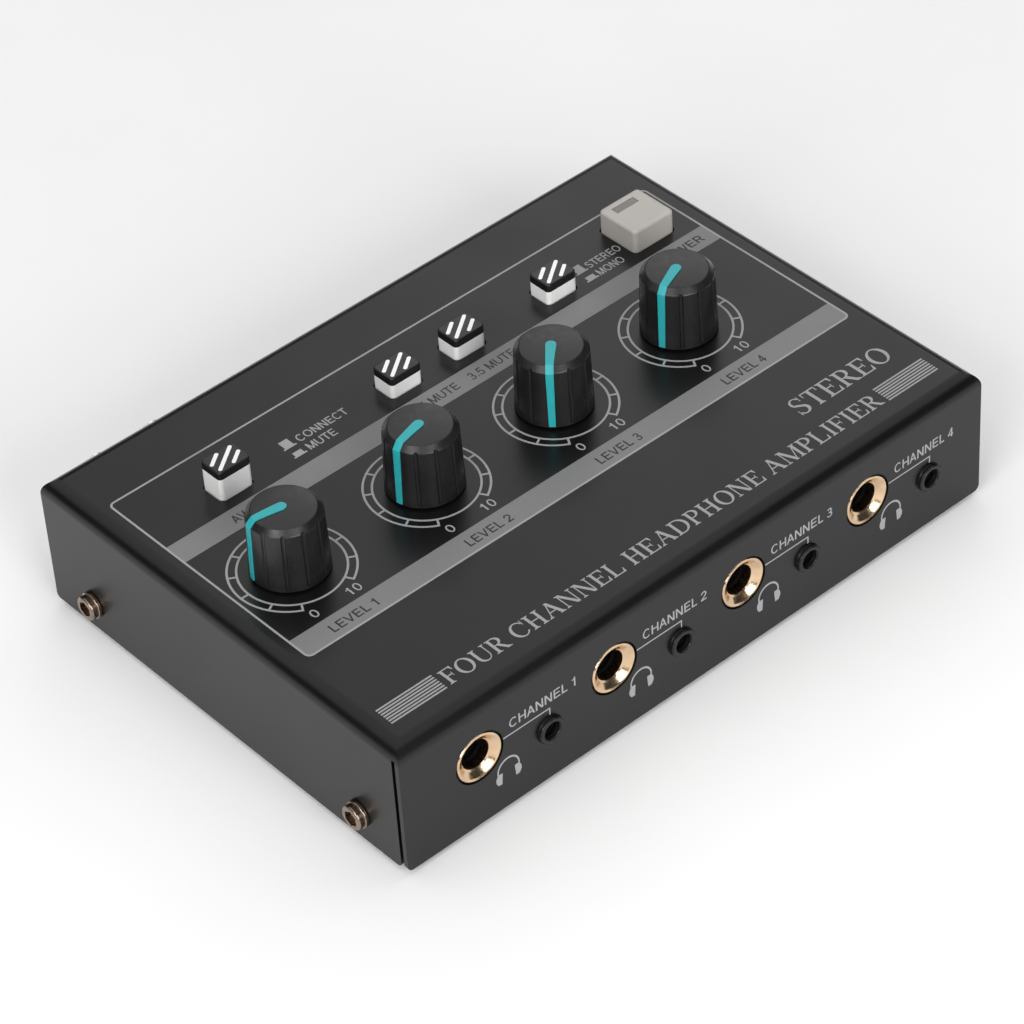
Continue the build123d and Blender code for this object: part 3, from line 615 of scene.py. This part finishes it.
def make_frame_and_bands():
    x0, x1 = FRAME_X
    y0, y1 = FRAME_Y
    outside = rounded(x0, x1, y0, y1, FRAME_CORNER)
    inside = rounded(x0 + LINE, x1 - LINE, y0 + LINE, y1 - LINE, FRAME_CORNER - LINE)
    printed("panel_frame_print", [outside], on_panel, light_ink, BASE_LAYER, cuts=[inside])
    upper = area(x0 + LINE, x1 - LINE, *UPPER_BAND_Y)
    low_y = (y0 + LINE, LOWER_BAND_Y[1])
    lower = rounded(x0 + LINE, x1 - LINE, *low_y, FRAME_CORNER - LINE, lower_only=True)
    printed("panel_band_print", [upper, lower], on_panel, band_ink, BASE_LAYER)


DIAL_INNER = 10.47
DIAL_OUTER = 12.27
DIAL_START = -60.0     # degrees, at the figure 10
DIAL_END = 240.0       # at the figure 0
DIAL_DIVISIONS = 10
DIAL_DROP = 0.44       # the printed dial sits this far in front of the knob's axis
FIGURE_DROP = 12.75    # from the dial's middle down to the figures' middle
FIGURES = (("0", -6.0, 1.6), ("10", 2.8, 3.1))   # with their left ends and widths


def make_dials():
    shapes = []
    for n in range(1, CHANNELS + 1):
        spot = centre_of(f"knob_{n}")
        x, y = spot.x, spot.y - DIAL_DROP
        for start in (0, 180):
            shapes.append(band(x, y, DIAL_INNER - LINE / 2, DIAL_INNER + LINE / 2, start, start + 180))
        outer = (DIAL_OUTER - LINE / 2, DIAL_OUTER + LINE / 2)
        shapes.append(band(x, y, *outer, DIAL_START, DIAL_END))
        tick = area(DIAL_INNER, DIAL_OUTER + LINE / 2, -LINE / 2, LINE / 2)
        for step in range(DIAL_DIVISIONS + 1):
            turn = DIAL_START + (DIAL_END - DIAL_START) * step / DIAL_DIVISIONS
            shapes += moved([tick], x, y, turn=turn)
        base = y - FIGURE_DROP - SMALL_CAP / 2
        for text, left, width in FIGURES:
            shapes += plain_letters(text, x + left, base, SMALL_CAP, width)
    printed("dial_prints", shapes, on_panel, light_ink, BASE_LAYER)


LEVEL_WORD = (-5.85, 11.0)    # left end from the knob's axis, and width
BAND_WORDS = (                # each with its left end and width
    ("AV MUTE", -56.0, 11.0),
    ("6.5 MUTE", -11.0, 11.7),
    ("3.5 MUTE", 3.8, 11.7),
    ("POWER", 55.2, 11.6),
)


def make_dark_legends():
    """The dark words on the two bands."""
    shapes = []
    low = sum(LOWER_BAND_Y) / 2 - SMALL_CAP / 2
    left, width = LEVEL_WORD
    for n in range(1, CHANNELS + 1):
        x = centre_of(f"knob_{n}").x
        shapes += plain_letters(f"LEVEL {n}", x + left, low, SMALL_CAP, width)
    high = sum(UPPER_BAND_Y) / 2 - SMALL_CAP / 2
    for text, x, width in BAND_WORDS:
        shapes += plain_letters(text, x, high, SMALL_CAP, width)
    printed("dark_legends", shapes, on_panel, dark_ink, TOP_LAYER)


def button_sign(x, y, tall):
    """The small sign of a button that stands out, or of one that is pressed in."""
    top = 2.7 if tall else 1.6
    return [area(x, x + 3.1, y, y + 0.4), area(x + 0.45, x + 2.6, y, y + top)]


UPPER_ROW_Y = 25.7      # baselines of the two rows of light words
LOWER_ROW_Y = 22.4
LIGHT_CAP = 2.1
LIGHT_WORDS = (         # each with its left end, baseline and width
    ("CONNECT", -32.1, UPPER_ROW_Y, 12.4),
    ("MUTE", -32.1, LOWER_ROW_Y, 6.9),
    ("STEREO", 44.0, UPPER_ROW_Y, 8.8),
    ("MONO", 44.0, LOWER_ROW_Y, 6.8),
)
SIGNS_X = (-36.0, 40.5)
LOWER_SIGN_Y = LOWER_ROW_Y + 0.1


def make_light_legends():
    """The light words and button signs behind the upper band."""
    shapes = []
    for text, x, y, width in LIGHT_WORDS:
        shapes += plain_letters(text, x, y, LIGHT_CAP, width)
    for x in SIGNS_X:
        shapes += button_sign(x, UPPER_ROW_Y, True) + button_sign(x, LOWER_SIGN_Y, False)
    printed("light_legends", shapes, on_panel, light_ink, BASE_LAYER)


TITLE_X = (-56.2, 55.3)
TITLE_Y = -46.2
TITLE_CAP = 4.1
SERIES_X = (41.5, 66.5)
SERIES_Y = -37.7
SERIES_CAP = 5.0
STRIPES = 7
STRIPES_X = ((-70.4, -57.2), (56.3, 69.8))
STRIPE_WIDTH = 0.38
STRIPES_LOW = TITLE_Y + 0.05
STRIPES_RISE = TITLE_CAP + 0.2


def make_title():
    """The title with its series word, and a block of stripes at each end."""
    title = "FOUR CHANNEL HEADPHONE AMPLIFIER"
    shapes = lettering(title, roman, *TITLE_X, TITLE_Y, TITLE_CAP)
    shapes += lettering("STEREO", roman, *SERIES_X, SERIES_Y, SERIES_CAP)
    printed("title_print", shapes, on_panel, light_ink, BASE_LAYER)
    stripes = []
    for x0, x1 in STRIPES_X:
        for n in range(STRIPES):
            y = STRIPES_LOW + n * STRIPES_RISE / (STRIPES - 1)
            stripes.append(area(x0, x1, y - STRIPE_WIDTH / 2, y + STRIPE_WIDTH / 2))
    printed("title_stripes", stripes, on_panel, light_ink, BASE_LAYER)


def headphone_sign(x, z):
    """A pair of headphones: a bow that runs into two cups, each a block with a shell outside."""
    arch = bow((x, z + 2.9, 2.75, 2.8), (x, z + 2.85, 2.4, 2.4), -12, 192)
    shapes = [arch]
    for side in (-1, 1):
        block = area(-0.5, 0.5, -1.35, 1.3)
        shell = arc(0.45 * side, 0, 0.55 * side, 1.05, -90, 90)
        shapes += moved([block, shell], x + side * 2.1, z + 1.3, turn=side * 5)
    return shapes


CHANNEL_WORD = (7.4, 16.3)    # left end from the large socket's axis, and width
CHANNEL_WORD_Z = 18.65
LEADER_START = 5.75           # from the large socket's axis
LEADER_END = 0.4              # past the small socket's axis
LEADER_WIDTH = 0.3
LEADER_Z = (15.6, 17.35)      # its lower end over the small socket, and its top
SIGN_X = 6.5                  # from the large socket's axis
SIGN_Z = 6.4


def make_front_print():
    """Each channel's word, its line from the large to the small socket, and its sign."""
    shapes = []
    left, width = CHANNEL_WORD
    low, high = LEADER_Z
    for n in range(1, CHANNELS + 1):
        socket, mini = centre_of(f"phone_ring_{n}").x, centre_of(f"mini_jack_{n}").x
        end = mini + LEADER_END
        shapes += plain_letters(f"CHANNEL {n}", socket + left, CHANNEL_WORD_Z, SMALL_CAP, width)
        shapes.append(area(socket + LEADER_START, end, high - LEADER_WIDTH, high))
        shapes.append(area(end - LEADER_WIDTH, end, low, high - LEADER_WIDTH / 2))
        shapes += headphone_sign(socket + SIGN_X, SIGN_Z)
    printed("front_prints", shapes, on_front, wall_ink, BASE_LAYER)


make_frame_and_bands()
make_dials()
make_dark_legends()
make_light_legends()
make_title()
make_front_print()


# ---------------------------------------------------------------- camera, floor and light
# The photograph's viewpoint and focal length, with the picture's middle on the lens axis
CAMERA_SPOT = Vector((-0.39095, CASE_Y - 0.47838, COVER_LOW.z + 0.54653))
CAMERA_TURN = (48.850, 3.047, -41.794)
FOCAL_LENGTH = 146.57
FLOOR_SIZE = 6.0
WORLD_GREY = (0.04, 0.04, 0.04, 1)


def make_camera():
    lens = bpy.data.cameras.new("camera")
    lens.lens = FOCAL_LENGTH
    lens.sensor_width = 36.0
    lens.clip_start = 0.01
    camera = bpy.data.objects.new("camera", lens)
    camera.location = CAMERA_SPOT
    camera.rotation_euler = Euler([radians(a) for a in CAMERA_TURN])
    bpy.context.scene.collection.objects.link(camera)
    bpy.context.scene.camera = camera


def make_floor():
    half = FLOOR_SIZE / 2
    corners = [(-half, -half, 0), (half, -half, 0), (half, half, 0), (-half, half, 0)]
    mesh = bpy.data.meshes.new("floor")
    mesh.from_pydata(corners, [], [(0, 1, 2, 3)])
    paper = Finish("floor_paper", (0.93, 0.93, 0.93), 0.9)
    paper.vary_colour(paper.noise(60, 3), (0.91, 0.91, 0.91))
    mesh.materials.append(paper.material)
    floor = bpy.data.objects.new("floor", mesh)
    bpy.context.scene.collection.objects.link(floor)


def softbox(name, spot, size, brightness):
    """A light that faces down; its brightness is what a mirror would show."""
    lamp = bpy.data.lights.new(name, "AREA")
    lamp.shape = "RECTANGLE"
    lamp.size, lamp.size_y = size
    lamp.energy = brightness * pi * size[0] * size[1]
    made = bpy.data.objects.new(name, lamp)
    made.location = spot
    bpy.context.scene.collection.objects.link(made)
    return made


def aimed_softbox(name, spot, side, brightness):
    """A square softbox that is turned to face the object."""
    made = softbox(name, spot, (side, side), brightness)
    made.rotation_euler = Vector(spot).to_track_quat("Z", "Y").to_euler()


def make_light():
    """A wide ceiling of light that the panel mirrors, with more beyond its far right corner.

    Two softboxes light the walls from either side of the camera.
    """
    softbox("ceiling_light", (0.15, 0.40, 1.2), (3.3, 2.5), 0.90)
    aimed_softbox("left_light", (-1.22, -0.52, 0.72), 0.8, 5.5)
    aimed_softbox("front_light", (-0.28, -1.32, 0.64), 0.8, 6.7)
    aimed_softbox("corner_light", (1.06, 1.03, 0.80), 0.7, 0.85)
    world = bpy.data.worlds.new("studio")
    world.use_nodes = True
    world.node_tree.nodes["Background"].inputs["Color"].default_value = WORLD_GREY
    bpy.context.scene.world = world


make_camera()
make_floor()
make_light()
bpy.context.scene.view_settings.view_transform = "Standard"
